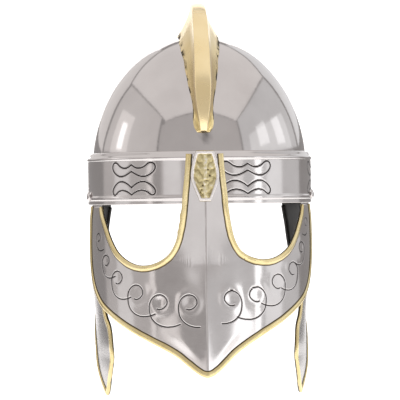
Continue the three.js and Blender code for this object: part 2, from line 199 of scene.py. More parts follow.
def grid_faces(rows, columns, close_rows):
    """The faces of a grid whose columns run round, and the column where each face starts."""
    row = np.arange(rows if close_rows else rows - 1)
    column = np.arange(columns)
    row, column = np.meshgrid(row, column, indexing="ij")
    next_row = (row + 1) % rows
    next_column = (column + 1) % columns
    corners = [(row, column), (row, next_column), (next_row, next_column), (next_row, column)]
    faces = np.stack([r * columns + c for r, c in corners], axis=-1).reshape(-1, 4)
    return faces, column.reshape(-1)


def grid_object(name, points, materials, close_rows=False, paint=None, shades=None, weld=False):
    """A mesh piece from a grid of points whose columns run round a closed section.

    Open ends get caps. paint gives each column its material's number, and shades are values
    stored on the points for the materials to read."""
    rows, columns, _ = points.shape
    faces, column = grid_faces(rows, columns, close_rows)
    flat = points.reshape(-1, 3)
    a, b, c, d = [flat[faces[:, k]] for k in range(4)]
    volume = np.einsum("ij,ij->i", a, np.cross(b, c)) + np.einsum("ij,ij->i", a, np.cross(c, d))
    faces = faces.tolist()
    if not close_rows:
        faces.append(list(range(columns))[::-1])
        faces.append(list(range((rows - 1) * columns, rows * columns)))
    if volume.sum() < 0:
        faces = [face[::-1] for face in faces]
    mesh = bpy.data.meshes.new(name)
    mesh.from_pydata((flat * MILLIMETRE).tolist(), [], faces)
    for material in materials:
        mesh.materials.append(material)
    if paint is not None:
        numbers = np.asarray(paint)[column].tolist() + [0] * (len(faces) - len(column))
        mesh.polygons.foreach_set("material_index", numbers)
    mesh.polygons.foreach_set("use_smooth", [True] * len(faces))
    for label, values in (shades or {}).items():
        layer = mesh.attributes.new(label, "FLOAT", "POINT")
        layer.data.foreach_set("value", np.asarray(values, np.float32).reshape(-1))
    if weld:
        shape = bmesh.new()
        shape.from_mesh(mesh)
        bmesh.ops.remove_doubles(shape, verts=shape.verts, dist=1e-7)
        shape.to_mesh(mesh)
        shape.free()
    mesh.update()
    obj = bpy.data.objects.new(name, mesh)
    bpy.context.scene.collection.objects.link(obj)
    return obj


def stand_for(obj, node):
    """The finished piece rides on the helmet and is shown in place of its CAD node."""
    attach(obj, "root")
    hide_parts(node)


# ---------------------------------------------------------------- materials


def new_material(name):
    material = bpy.data.materials.new(name)
    material.use_nodes = True
    return material, material.node_tree, material.node_tree.nodes["Principled BSDF"]


def noise(tree, scale, detail=3.0, stretch=(1.0, 1.0, 1.0)):
    place = tree.nodes.new("ShaderNodeTexCoord")
    mapping = tree.nodes.new("ShaderNodeMapping")
    texture = tree.nodes.new("ShaderNodeTexNoise")
    mapping.inputs["Scale"].default_value = stretch
    texture.inputs["Scale"].default_value = scale
    texture.inputs["Detail"].default_value = detail
    tree.links.new(place.outputs["Object"], mapping.inputs["Vector"])
    tree.links.new(mapping.outputs["Vector"], texture.inputs["Vector"])
    return texture.outputs["Fac"]


def stored(tree, label):
    node = tree.nodes.new("ShaderNodeAttribute")
    node.attribute_name = label
    return node.outputs["Fac"]


def remap(tree, value, low, high, to_low, to_high):
    node = tree.nodes.new("ShaderNodeMapRange")
    node.inputs["From Min"].default_value = low
    node.inputs["From Max"].default_value = high
    node.inputs["To Min"].default_value = to_low
    node.inputs["To Max"].default_value = to_high
    tree.links.new(value, node.inputs["Value"])
    return node.outputs["Result"]


def combine(tree, operation, first, second):
    node = tree.nodes.new("ShaderNodeMath")
    node.operation = operation
    for socket, value in zip(node.inputs, (first, second)):
        if isinstance(value, (int, float)):
            socket.default_value = value
        else:
            tree.links.new(value, socket)
    return node.outputs["Value"]


def ramp(tree, value, stops):
    node = tree.nodes.new("ShaderNodeValToRGB")
    elements = node.color_ramp.elements
    while len(elements) < len(stops):
        elements.new(0.5)
    for element, (position, colour) in zip(elements, stops):
        element.position = position
        element.color = (*colour, 1.0)
    tree.links.new(value, node.inputs["Fac"])
    return node.outputs["Color"]


def blend_colours(tree, factor, first, second):
    node = tree.nodes.new("ShaderNodeMix")
    node.data_type = "RGBA"
    tree.links.new(factor, node.inputs[0])
    for socket, colour in ((node.inputs[6], first), (node.inputs[7], second)):
        if isinstance(colour, tuple):
            socket.default_value = (*colour, 1.0)
        else:
            tree.links.new(colour, socket)
    return node.outputs[2]


def roughen(tree, shader, height, strength, distance):
    bump = tree.nodes.new("ShaderNodeBump")
    bump.inputs["Strength"].default_value = strength
    bump.inputs["Distance"].default_value = distance
    tree.links.new(height, bump.inputs["Height"])
    tree.links.new(bump.outputs["Normal"], shader.inputs["Normal"])


def steel_material(name, smooth, dull, dark=(0.60, 0.57, 0.56), pale=(0.68, 0.65, 0.64)):
    """Sheet steel: faint cloudy patches, hair scratches, painted shade in the engraved lines.

    Its roughness lies between smooth and dull, and its colour between dark and pale."""
    material, tree, shader = new_material(name)
    cloud = noise(tree, 22.0, 4.0)
    metal = ramp(tree, cloud, [(0.3, dark), (0.7, pale)])
    engraved = remap(tree, stored(tree, "groove"), 0.05, 0.55, 0.0, 1.0)
    # Painted shade: the engraved lines are darkened to near black. The bowl's soot stain is darkened through
    # the same value.
    colour = blend_colours(tree, engraved, metal, (0.035, 0.03, 0.03))
    scratches = noise(tree, 240.0, 2.0, (1.0, 1.0, 6.0))
    gloss = remap(tree, scratches, 0.3, 0.75, smooth, dull)
    tree.links.new(colour, shader.inputs["Base Color"])
    dirty_gloss = combine(tree, "ADD", gloss, combine(tree, "MULTIPLY", engraved, 0.3))
    tree.links.new(dirty_gloss, shader.inputs["Roughness"])
    shader.inputs["Metallic"].default_value = 1.0
    roughen(tree, shader, scratches, 0.012, 0.0004)
    return material


def paint_material():
    """The black paint inside the helmet, worn to grey in places."""
    material, tree, shader = new_material("black_paint")
    worn = noise(tree, 60.0, 5.0)
    black, dark, bare = (0.012, 0.012, 0.012), (0.03, 0.028, 0.026), (0.09, 0.08, 0.07)
    colour = ramp(tree, worn, [(0.35, black), (0.62, dark), (0.8, bare)])
    tree.links.new(colour, shader.inputs["Base Color"])
    tree.links.new(remap(tree, worn, 0.3, 0.8, 0.35, 0.6), shader.inputs["Roughness"])
    return material


def trim_material():
    """Brass strip: bright outside, with painted shade where its leg meets the sheet, and black paint on its
    inner face.
    """
    material, tree, shader = new_material("trim_brass")
    cloud = noise(tree, 45.0, 4.0)
    brass = ramp(tree, cloud, [(0.3, (0.74, 0.60, 0.30)), (0.7, (0.88, 0.75, 0.44))])
    ragged = remap(tree, noise(tree, 170.0, 3.0), 0.3, 0.7, -0.35, 0.35)
    edge = combine(tree, "ADD", stored(tree, "outwards"), ragged)
    painted = remap(tree, edge, -0.15, -0.3, 0.0, 1.0)
    # Painted shade: the brass darkens to a near-black brown where the strip's leg meets the sheet.
    shaded_brass = blend_colours(tree, stored(tree, "crease_shade"), brass, (0.07, 0.05, 0.025))
    colour = blend_colours(tree, painted, shaded_brass, (0.018, 0.016, 0.014))
    tree.links.new(colour, shader.inputs["Base Color"])
    tree.links.new(combine(tree, "SUBTRACT", 1.0, painted), shader.inputs["Metallic"])
    tree.links.new(remap(tree, cloud, 0.3, 0.7, 0.2, 0.3), shader.inputs["Roughness"])
    roughen(tree, shader, noise(tree, 320.0, 3.0), 0.08, 0.0006)
    return material


def crest_material():
    """Brass with a painted highlight making the top strip pale, olive flanks, and black tarnish along the
    soldered base.
    """
    material, tree, shader = new_material("crest_brass")
    level = stored(tree, "level")
    cloud = noise(tree, 35.0, 4.0)
    base, olive, pale = (0.86, 0.70, 0.38), (0.68, 0.52, 0.22), (1.0, 0.83, 0.5)
    # Painted highlight: the top strip and the folds beside it are ramped to pale cream by their level.
    flank = ramp(tree, level, [(0.0, base), (0.5, olive), (0.97, pale)])
    brass = blend_colours(tree, remap(tree, cloud, 0.35, 0.7, 0.0, 0.35), flank, (0.86, 0.66, 0.32))
    spots = remap(tree, noise(tree, 150.0, 5.0), 0.45, 0.56, 0.0, 1.0)
    low = remap(tree, level, 0.05, 0.17, 1.0, 0.0)
    tarnish = combine(tree, "MULTIPLY", spots, low)
    colour = blend_colours(tree, tarnish, brass, (0.03, 0.025, 0.02))
    tree.links.new(colour, shader.inputs["Base Color"])
    gloss = remap(tree, cloud, 0.3, 0.7, 0.2, 0.3)
    dirty_gloss = combine(tree, "ADD", gloss, combine(tree, "MULTIPLY", tarnish, 0.4))
    tree.links.new(dirty_gloss, shader.inputs["Roughness"])
    shader.inputs["Metallic"].default_value = 1.0
    roughen(tree, shader, noise(tree, 300.0, 3.0), 0.06, 0.0006)
    return material


def ornament_material():
    """Cast pale brass: worn silver-white on the rim, olive-gold in the field, dark in the pits."""
    material, tree, shader = new_material("cast_pale_brass")
    relief = stored(tree, "relief")
    grain = remap(tree, noise(tree, 420.0, 4.0), 0.3, 0.7, -0.12, 0.12)
    height = combine(tree, "ADD", relief, grain)
    pit, olive, gold, silver = (0.08, 0.06, 0.04), (0.42, 0.35, 0.18), (0.68, 0.59, 0.33), (0.86, 0.82, 0.80)
    colour = ramp(tree, height, [(0.05, pit), (0.3, olive), (0.6, gold), (0.8, silver)])
    tree.links.new(colour, shader.inputs["Base Color"])
    shader.inputs["Metallic"].default_value = 0.9
    tree.links.new(remap(tree, height, 0.2, 0.9, 0.5, 0.28), shader.inputs["Roughness"])
    roughen(tree, shader, noise(tree, 500.0, 4.0), 0.25, 0.0008)
    return material


STEEL = steel_material("polished_steel", 0.07, 0.13)
BRUSHED_STEEL = steel_material("brushed_steel", 0.11, 0.17)
# The flaps' steel: rougher than the rest, and darker in colour as painted shade.
SHADED_SATIN_STEEL = steel_material("satin_steel_shaded", 0.24, 0.32, (0.44, 0.425, 0.42), (0.54, 0.525, 0.52))
PAINT = paint_material()
BRASS = trim_material()
CREST_BRASS = crest_material()
CAST_BRASS = ornament_material()

# ---------------------------------------------------------------- sheet metal


def sheet_object(name, outer, inner, steel, engraved=None, close_rows=False, weld=False):
    """Sheet metal from its outer and inner faces: steel outside, black paint inside.

    engraved says how deep each outer point lies in engraved lines or soot, from 0 to 1; the steel paints
    shade into the lines and darkens the soot as a stain."""
    points = np.concatenate([outer, inner], axis=1)
    paint = [0] * outer.shape[1] + [1] * inner.shape[1]
    shades = None
    if engraved is not None:
        shades = {"groove": np.concatenate([engraved, np.zeros(inner.shape[:2])], axis=1)}
    return grid_object(name, points, [steel, PAINT], close_rows, paint, shades, weld)


# ---------------------------------------------------------------- bowl


def soot_below_crest(points):
    """The smear left by soldering, in front of the crest's lower end."""
    x, y, z = np.moveaxis(points, -1, 0)
    smear = np.exp(-(((x - SOOT["x"]) / SOOT["width"]) ** 2) - ((z - SOOT["level"]) / SOOT["height"]) ** 2)
    return SOOT["strength"] * smear * (1 + 0.5 * waves(points, length=7, seed=8)) * (y < 0)


def make_bowl():
    columns, outer_rows, inner_rows = 240, 100, 36
    around = np.linspace(0, 2 * math.pi, columns, endpoint=False)

    def wall(inset, rows):
        rise = BOWL["rise"] - inset
        lowest = math.acos((BOWL["rim"] - BOWL["centre"]) / rise)
        down = np.linspace(0, lowest, rows)
        reach = np.sin(down)
        return np.stack(
            [
                (BOWL["half_width"] - inset) * np.outer(np.sin(around), reach),
                -(BOWL["half_depth"] - inset) * np.outer(np.cos(around), reach),
                BOWL["centre"] + rise * np.outer(np.ones_like(around), np.cos(down)),
            ],
            axis=-1,
        )

    outer = wall(0, outer_rows)
    middle = np.array([0, 0, BOWL["centre"]])
    uneven = 0.2 * waves(outer, length=90, seed=1) + 0.08 * waves(outer, length=34, seed=2)
    outer = outer + unit(outer - middle) * uneven[..., None]
    inner = wall(SHEET, inner_rows)[:, ::-1]
    soot = soot_below_crest(outer)
    bowl = sheet_object("bowl_shell", outer, inner, STEEL, soot, close_rows=True, weld=True)
    stand_for(bowl, "bowl")


# ---------------------------------------------------------------- brow band

# One half of each engraved figure, as (distance along the band from its middle, height): a
# drooping lobe above and a leaf-like lobe below. The other half is its mirror image.
UPPER_LOBE = [
    (0, 36.2), (4, 34), (8, 33.2), (13.5, 34.5), (17.5, 37.2), (20.5, 38.2), (23.8, 36.8),
    (24.8, 33.8), (23, 30.5), (19, 27.6), (14, 26), (8.5, 26.6), (3.5, 28.6), (0, 30.4),
]
LOWER_LOBE = [
    (0, 16.2), (4, 19), (9, 21.1), (13.5, 21.5), (18.5, 19.8), (22.5, 16.8), (24.6, 13.6),
    (23.8, 10.6), (21.5, 9.7), (19.6, 10.7), (16.5, 12.7), (12, 13.8), (7.5, 13.4), (3.5, 11.9), (0, 9.9),
]
FIGURE_TURN = math.radians(60)
FIRST_FIGURE = math.radians(21.8)


def make_band():
    columns, straight_rows, bend_rows, lobe_points = 1080, 68, 4, 44
    around = np.linspace(0, 2 * math.pi, columns, endpoint=False)
    reach = BAND["half_width"]
    bottom, top = BAND["bottom"], BAND["top"]
    lower_border, upper_border = bottom + BAND["border"], top - BAND["border"]
    edge = SHEET / 2
    turn = np.linspace(-math.pi / 2, 0, bend_rows)
    straight = np.linspace(bottom + SHEET, top - edge, straight_rows)
    levels = np.concatenate([bottom + edge + edge * np.sin(turn), straight, [top]])
    roll_in = np.zeros_like(levels)
    roll_in[:bend_rows] = edge * (1 - np.cos(turn))
    roll_in[-1] = edge
    taper = BAND["taper"] * np.clip((levels - upper_border) / BAND["border"], 0, 1)
    bead = sum(
        np.clip(1 - ((levels - centre) / BEAD["half_width"]) ** 2, 0, 1) ** 0.5
        for centre in (lower_border, upper_border)
    )
    profile = reach - taper - roll_in + BEAD["rise"] * bead
    half = places_curve(UPPER_LOBE), places_curve(LOWER_LOBE)
    lobes = [curve(np.linspace(0, 1, lobe_points)) for curve in half]
    figures = [lobe * [side, 1] for lobe in lobes for side in (1, -1)]
    from_figure = (around - FIRST_FIGURE + FIGURE_TURN / 2) % FIGURE_TURN - FIGURE_TURN / 2
    radius = np.hypot(reach * np.cos(around), BAND["half_depth"] * np.sin(around))
    across, up = np.broadcast_arrays((from_figure * radius)[:, None], levels[None, :])
    lines = groove(across, up, figures, ENGRAVING["band"])
    stretch = BAND["half_depth"] / reach
    directions = np.stack([np.sin(around), -stretch * np.cos(around), np.zeros_like(around)], axis=-1)
    upright = np.array([0, 0, 1.0])
    outer = directions[:, None] * profile[None, :, None] + upright * levels[None, :, None]
    uneven = 0.07 * waves(outer, length=60, seed=3) - ENGRAVING["depth"] * lines
    outer = outer + unit(directions)[:, None] * uneven[..., None]
    inner_levels = np.array([top, upper_border, lower_border, bottom])
    inner_profile = reach - SHEET - BAND["taper"] * np.array([1, 0, 0, 0])
    inner = directions[:, None] * inner_profile[None, :, None] + upright * inner_levels[None, :, None]
    band = sheet_object("brow_band_sheet", outer, inner, BRUSHED_STEEL, lines, close_rows=True)
    stand_for(band, "brow_band")


# ---------------------------------------------------------------- crest


def crest_point(x, angle, height):
    """A point above the bowl, off its middle line by x, at an angle from the top."""
    shrink = np.sqrt(1 - (x / BOWL["half_width"]) ** 2)
    steepness = np.zeros_like(x), np.sin(angle) / BOWL["half_depth"], np.cos(angle) / BOWL["rise"]
    outwards = unit(np.stack(np.broadcast_arrays(*steepness), axis=-1))
    foot = np.stack(
        [
            x,
            BOWL["half_depth"] * shrink * np.sin(angle),
            BOWL["centre"] + BOWL["rise"] * shrink * np.cos(angle),
        ],
        axis=-1,
    )
    return foot + outwards * height[..., None]


crest_half_base = through(
    [
        (0, 18.9), (0.2, 18.4), (0.4, 16.9), (0.6, 14.2), (0.75, 10.9), (0.85, 9.1), (0.92, 9.4),
        (0.96, 8.5), (0.985, 6),
    ]
)
crest_half_strip = through(
    [(0, 6.2), (0.4, 6.6), (0.7, 7), (0.76, 6.9), (0.85, 5.8), (0.92, 4.1), (0.985, 2.4)]
)


def make_crest():
    stations, strip_columns = 221, 13
    station = np.linspace(-1, 1, stations)[:, None]
    share = station * CREST["tip_share"]
    height = CREST["height"] * (1 - share**2) ** CREST_POWER["height"]
    wobble = 1 + 0.02 * np.sin(17 * station + 1) + 0.012 * np.sin(41 * station)
    half_base = crest_half_base(np.abs(share)) * wobble
    half_strip = crest_half_strip(np.abs(share))
    angle = station * CREST["tip_angle"]

    def flank(inset, levels):
        """Distances off the middle line, and heights, of a flank set in from its outside."""
        roof = height - inset
        lift = CREST["clearance"] + levels * (roof - CREST["clearance"])
        depth = np.clip(1 - lift / height, 0, 1)
        width = half_strip + (half_base - half_strip) * depth ** CREST_POWER["flank"]
        lean = CREST_POWER["flank"] * (half_base - half_strip) * depth ** (CREST_POWER["flank"] - 1) / height
        corner = 0.7 * np.clip((levels - 0.96) / 0.04, 0, 1) ** 2
        return np.maximum(width - inset * np.hypot(1, lean) - corner * (inset == 0), width / 3), lift

    def side_points(inset, levels, side):
        x, lift = flank(inset, levels[None, :])
        return crest_point(side * x, angle, lift)

    rising = np.concatenate([np.linspace(0, 1, 26) ** 1.5 * 0.96, [0.975, 0.99, 1.0]])
    strip = np.linspace(1, -1, strip_columns)[None, 1:-1]
    top_x, top_lift = flank(0, np.array([[1.0]]))
    crown = 0.25 * (1 - strip**2)
    top = crest_point(strip * top_x, angle, top_lift + crown)
    inside = np.array([0.0, 0.15, 0.4, 0.7, 0.95])
    points = np.concatenate(
        [
            side_points(0, rising, 1),
            top,
            side_points(0, rising[::-1], -1),
            side_points(CREST["wall"], inside, -1),
            side_points(CREST["wall"], inside[::-1], 1),
        ],
        axis=1,
    )
    outside_levels = np.concatenate([rising, np.ones(strip.size), rising[::-1]])
    levels = np.concatenate([outside_levels, np.full(2 * inside.size, 0.3)])
    # The level up each flank, which the crest's material turns into olive flanks and a painted highlight
    # along the top.
    shade = np.broadcast_to(levels, points.shape[:2])
    crest = grid_object("crest_comb", points, [CREST_BRASS], shades={"level": shade})
    stand_for(crest, "crest")


# ---------------------------------------------------------------- face mask

mask_half_width = through(
    [(-147, 98), (-100, 100.2), (-60, 101), (-30, 101.2), (-12, 101), (0, 99.8), (12, 99.9)]
)
mask_half_depth = through([(-147, 121), (-100, 119.4), (-50, 118), (-15, 115), (0, 114), (12, 114)])
facet_slope = through([(-147, 0.62), (-100, 0.55), (-50, 0.45), (0, 0.36), (48, 0.36)])
strip_lift = through([(-48, 0), (-24, 3), (0, 6), (48, 6)])
PER_RADIAN = 100


def mask_surface(u, z):
    """An ellipse with a folded ridge in front; u is hundredths of a radian round it."""
    angle = u / PER_RADIAN
    sideways = np.sin(angle)
    facet_depth = mask_half_width(z) * facet_slope(z)
    ridge = np.hypot(mask_half_depth(z), facet_depth)
    softened = np.sqrt(sideways**2 + 0.0015**2)
    on_facet = ridge + strip_lift(z) - facet_depth * softened
    on_ellipse = mask_half_depth(z) * np.cos(angle)
    forwards = np.where(np.abs(sideways) < facet_depth / ridge, on_facet, on_ellipse)
    return np.stack(np.broadcast_arrays(mask_half_width(z) * sideways, -forwards, z), axis=-1)


def mask_place_of(point):
    sideways = point[..., 0] / mask_half_width(point[..., 2])
    forwards = np.clip(-point[..., 1] / mask_half_depth(point[..., 2]), -1, 1)
    by_side = np.arcsin(np.clip(sideways, -1, 1))
    angle = np.where(np.abs(sideways) < 0.8, by_side, np.sign(sideways) * np.arccos(forwards))
    return np.stack([angle * PER_RADIAN, point[..., 2]], axis=-1)


MASK_SHEET = (mask_surface, mask_place_of)

# The border of an eye opening, from the top of the nose strip round to the temple, and the lower
# edge from the chin to the temple, as (sideways, height). Points with the same place face each
# other, apart from the chin itself.
EYE_BORDER = [
    (16.2, 45), (17.3, 29.5), (19.6, 8.2), (20.8, -5.5), (23, -19.4), (26, -31), (31, -40), (37, -45),
    (45.5, -48.6), (53, -49.6), (60, -48.7), (67.8, -45), (75.5, -38), (81.4, -27), (84.4, -18.5),
    (86.6, -11.5), (88, -5.5), (88.7, 0),
]
LOWER_BORDER = [
    (0, -148.5), (5, -147.2), (9, -144.8), (13.5, -141.2), (18, -137.3), (24, -132), (30.5, -127.3),
    (38, -122.8), (45.5, -118.6), (52.5, -114.7), (59.5, -110.8), (66, -107), (74.5, -101.2), (83, -94.2),
    (91, -85), (96.2, -70), (98.4, -52), (98.9, -34), (98.6, -16), (97.4, 0),
]
FACING_PAIRS = len(EYE_BORDER)
SHEET_EDGE = TRIM["wall"] + GAP


def mask_places(side, points):
    """Places of mask points on one side. The mask hangs a little lower on the wearer's right."""
    x, z = np.array(points, float).T
    lowering = smooth_step(x, 0, MASK["askew_width"]) * smooth_step(-z, 0, MASK["askew_depth"])
    height = z + side * MASK["askew"] * lowering
    return np.stack([side * PER_RADIAN * np.arcsin(x / mask_half_width(height)), height], axis=-1)


EYE_CURVES = {side: places_curve(mask_places(side, EYE_BORDER)) for side in SIDES.values()}
LOWER_CURVE = places_curve(
    np.vstack([mask_places(-1, LOWER_BORDER[1:])[::-1], mask_places(1, LOWER_BORDER)])
)

# The middles of the scroll heads on each side, as (sideways, height), from the ridge outwards.
SCROLL_HEADS = {
    1: [(21.2, -81), (43.9, -78.2), (63.7, -67.6), (78.2, -56.8), (87.5, -38.3), (92.8, -16)],
    -1: [(14.2, -83.8), (39.7, -83.8), (59.5, -75.4), (75.6, -62.8), (85.4, -47.9), (91.8, -27.6)],
}
SCROLL_SIZES = [1, 1, 0.98, 0.88, 0.72, 0.55]
SCROLL_START = math.radians(-62)
FIRST_SCROLL_SWEEP = 412
SCROLL_SWEEP = 434
scroll_radius = through(
    [(0, 6.4), (73, 6), (119, 7), (209, 6.6), (266, 7.8), (325, 12), (362, 17), (413, 23.5), (436, 27.5)]
)
SCROLL_LEVEL = -80.0


def mask_arc_table():
    """Distances along the mask's outside at one level, as (coordinate, distance)."""
    u = np.linspace(-175, 175, 1401)
    points = mask_surface(u, np.full_like(u, SCROLL_LEVEL))
    lengths = np.concatenate([[0], np.cumsum(np.linalg.norm(np.diff(points, axis=0), axis=1))])
    return u, lengths - np.interp(0, u, lengths)


def scroll_middles(side, table):
    for (x, z), size in zip(SCROLL_HEADS[side], SCROLL_SIZES):
        u = side * PER_RADIAN * math.asin(x / float(mask_half_width(np.array(z, float))))
        yield np.interp(u, *table), z, size


def scroll_paths(table):
    paths = []
    for side in SIDES.values():
        for index, (middle, z, size) in enumerate(scroll_middles(side, table)):
            sweep = np.linspace(0, SCROLL_SWEEP if index else FIRST_SCROLL_SWEEP, 64)
            radius = scroll_radius(sweep) * size
            angle = SCROLL_START - np.radians(sweep)
            path = np.stack([middle + side * radius * np.cos(angle), z + radius * np.sin(angle)], axis=-1)
            paths.append(path)
    return paths


def scroll_dents(along, up, table):
    """Shallow dents inside the scroll heads, with a low swell round each."""
    height = np.zeros_like(along)
    for side in SIDES.values():
        for middle, z, size in scroll_middles(side, table):
            distance = np.hypot(along - middle, up - z) / size
            dent = np.exp(-((distance / 4.5) ** 2))
            swell = np.exp(-((distance - 9) / 4) ** 2)
            height += size * (0.45 * dent - 0.5 * swell)
    return height


# The level of the scrolls, by the number of the facing pair of border points.
engraved_middle = through(
    [(0, -94), (3, -93), (8, -92), (11, -84), (13, -71), (14.5, -57), (16, -37), (18, -21)]
)
SCROLL_REACH = 19


def mask_columns(side, pair, rows, even=False):
    """Net columns from the lower edge up to the eye opening, denser where the scrolls are."""
    along_lower = 0.5 + side * pair / (2 * FACING_PAIRS)
    along_eye = np.clip(pair - 1, 0, None) / (FACING_PAIRS - 1)
    foot = place_inside(MASK_SHEET, LOWER_CURVE, along_lower, 1, SHEET_EDGE)
    head = place_inside(MASK_SHEET, EYE_CURVES[side], along_eye, -side, SHEET_EDGE)
    head[:, 0] *= np.clip(pair, 0, 1)
    head[:, 1] = np.where(pair <= 1, MASK["strip_top"], head[:, 1])
    rise = head[:, 1] - foot[:, 1]
    middle = (engraved_middle(pair) - foot[:, 1]) / rise
    spread = SCROLL_REACH / rise
    low = np.clip(middle - spread, 0.03, 0.4)
    high = np.clip(middle + spread, low + 0.1, 0.97)
    share = np.linspace(0, 1, rows)
    knots = (0, 0.12, 0.78, 1)
    fraction = np.stack([np.interp(share, knots, (0, a, b, 1)) for a, b in zip(low, high)])
    if even:
        fraction = np.broadcast_to(share, fraction.shape)
    return foot[:, None] + (head - foot)[:, None] * fraction[..., None]


def mask_net(side, columns, rows, even=False):
    pair = np.linspace(0, FACING_PAIRS, columns)
    net = mask_columns(side, pair, rows, even)
    last = net[-1]
    tab_levels = np.linspace(0, MASK["tab_top"], 5)
    tab = [np.stack([last[:, 0], np.full(rows, z)], axis=-1) for z in tab_levels]
    return np.concatenate([net, np.stack(tab)])


def both_sides(columns, rows, even=False):
    net = np.concatenate([mask_net(-1, columns, rows, even)[:0:-1], mask_net(1, columns, rows, even)])
    return net[..., 0], net[..., 1]


def make_mask():
    rows, columns, inner_rows = 118, 350, 14
    u, z = both_sides(columns, rows)
    table = mask_arc_table()
    along = np.interp(u, *table)
    lines = groove(along, z, scroll_paths(table), ENGRAVING["mask"])
    lines *= smooth_step(-z, -4, 4)
    face = mask_surface(u, z)
    facet_depth = mask_half_width(z) * facet_slope(z)
    ridge = np.hypot(mask_half_depth(z), facet_depth)
    facet_share = np.abs(np.sin(u / PER_RADIAN)) * ridge / facet_depth
    bulge = np.sin(math.pi * np.clip(facet_share, 0, 1)) ** 2
    uneven = 0.08 * waves(face, length=55, seed=4) - ENGRAVING["depth"] * lines
    uneven -= MASK["dents"] * scroll_dents(along, z, table)
    clear_of_trims = smooth_step(-z, 22, 60) * smooth_step(z - z[:, :1], 6, 18)
    uneven += (FACET["bulge"] + FACET["chin_bulge"] * smooth_step(-z, 90, 140)) * bulge * clear_of_trims
    uneven *= smooth_step(-z, 2, 12)
    outer = offset(mask_surface, u, z, SHEET / 2 + uneven)
    inner_u, inner_z = both_sides(columns, inner_rows, even=True)
    inner = offset(mask_surface, inner_u, inner_z, np.full_like(inner_u, -SHEET / 2))[:, ::-1]
    mask = sheet_object("face_mask_sheet", outer, inner, BRUSHED_STEEL, lines)
    stand_for(mask, "face_mask")


# ---------------------------------------------------------------- folded trim


def trim_section():
    """The channel's closed section, as (distance inside the border, reach off the sheet)."""
    leg, wall, reach = TRIM["leg"], TRIM["wall"], TRIM["reach"]
    lip = leg + 0.8
    half = [(lip, 0.68), (lip, 0.76), (leg, 0.86), (leg - 0.4, 1.2), (leg - 1.1, 1.55), (leg - 2, 1.76)]
    bend = np.radians(np.linspace(90, 0, 7))
    half += [(reach * (1 - math.cos(a)), reach * math.sin(a)) for a in bend]
    outside = half + [(x, -y) for x, y in half[-2::-1]]
    inside = [(wall, -0.8), (wall, 0.8)]
    return np.array(outside + inside)


def make_channel(name, sheet, border, side, shares, lumps=()):
    """A folded strip along a border. Each lump of solder is (share, width, size)."""
    section = trim_section()
    inside = np.broadcast_to(section[:, 0], (len(shares), len(section))).copy()
    reach = np.broadcast_to(section[:, 1], inside.shape).copy()
    share = np.asarray(shares)[:, None]
    fold = np.clip(1 - section[:, 0] / 2.2, 0, 1)[None, :]
    for at, width, size in lumps:
        inside -= size * np.exp(-(((share - at) / width) ** 2)) * fold
    ripple = 0.07 * np.sin(61 * share + side) + 0.05 * np.sin(137 * share + 2)
    inside += ripple * (section[:, 0] > TRIM["leg"] - 1)[None, :]
    place = place_inside(sheet, border, np.broadcast_to(share, inside.shape), side, inside)
    points = offset(sheet[0], place[..., 0], place[..., 1], reach)
    outwards = np.broadcast_to(section[:, 1] / TRIM["reach"], inside.shape)
    # Painted shade: how near each section point lies to the lip where the leg meets the sheet, where the
    # brass is darkened.
    crease_shade = np.broadcast_to(smooth_step(section[:, 0], TRIM["leg"] - 0.7, TRIM["leg"] + 0.1), inside.shape)
    return grid_object(name, points, [BRASS], shades={"outwards": outwards, "crease_shade": crease_shade})


# Lumps of solder on the eye trims, as (share along the border, width, size).
SOLDER_LUMPS = {"right": [(0.19, 0.012, 0.9), (0.225, 0.01, 0.6), (0.25, 0.008, 0.7)]}


def share_at_height(border, height):
    shares = np.linspace(0, 1, 801)
    return shares[border(shares)[:, 1] <= height].max()


def make_mask_trims():
    for name, side in SIDES.items():
        border = EYE_CURVES[side]
        end = share_at_height(border, TRIM["start"])
        lumps = SOLDER_LUMPS.get(name, ())
        shares = np.linspace(0, end, TRIM_STEPS["eye"])
        trim = make_channel(f"eye_trim_{name}_fold", MASK_SHEET, border, -side, shares, lumps)
        stand_for(trim, f"eye_trim_{name}")
    end = share_at_height(LOWER_CURVE, TRIM["start"])
    shares = np.linspace(1 - end, end, TRIM_STEPS["mask_edge"])
    trim = make_channel("mask_edge_trim_fold", MASK_SHEET, LOWER_CURVE, 1, shares)
    stand_for(trim, "mask_edge_trim")


# ---------------------------------------------------------------- ear flaps

flap_half_width = through(
    [
        (-166, 94), (-145, 96), (-120, 95.2), (-100, 95.2), (-86, 96.2), (-66, 98.5), (-41, 99.8),
        (-20, 99.2), (-10, 98), (0, 96.8), (4, 97.1), (12, 97.8),
    ]
)
flap_bend_front = through(
    [
        (-166, 133), (-136, 127), (-122, 131), (-105, 124), (-96, 118), (-80, 104), (-60, 95),
        (-20, 92), (-8, 100), (0, 112), (12, 113),
    ]
)

# A flap's outline from the front of its tab down to the point and up to the rear of its tab, as
# (distance behind the middle, height).
FLAP_OUTLINE = [
    (-38, 0), (-38, -30), (-39, -60), (-43, -82), (-51, -96), (-61, -106), (-68, -121), (-68.5, -137),
    (-64.3, -153), (-58.4, -164.6), (-54, -168), (-49.5, -165.6), (-38.5, -155.5), (-27, -142.2), (-17, -128),
    (-6, -117), (12, -104), (32, -89), (49, -66), (60, -35), (64, 0),
]
FLAP_CURVE = places_curve(FLAP_OUTLINE)


def flap_sheet(side):
    def surface(y, z):
        bend = np.where(y < 0, flap_bend_front(z), FLAP["bend_rear"])
        x = side * flap_half_width(z) * np.sqrt(1 - (y / bend) ** 2)
        return np.stack(np.broadcast_arrays(x, y, z), axis=-1)

    return surface, lambda point: point[..., 1:]


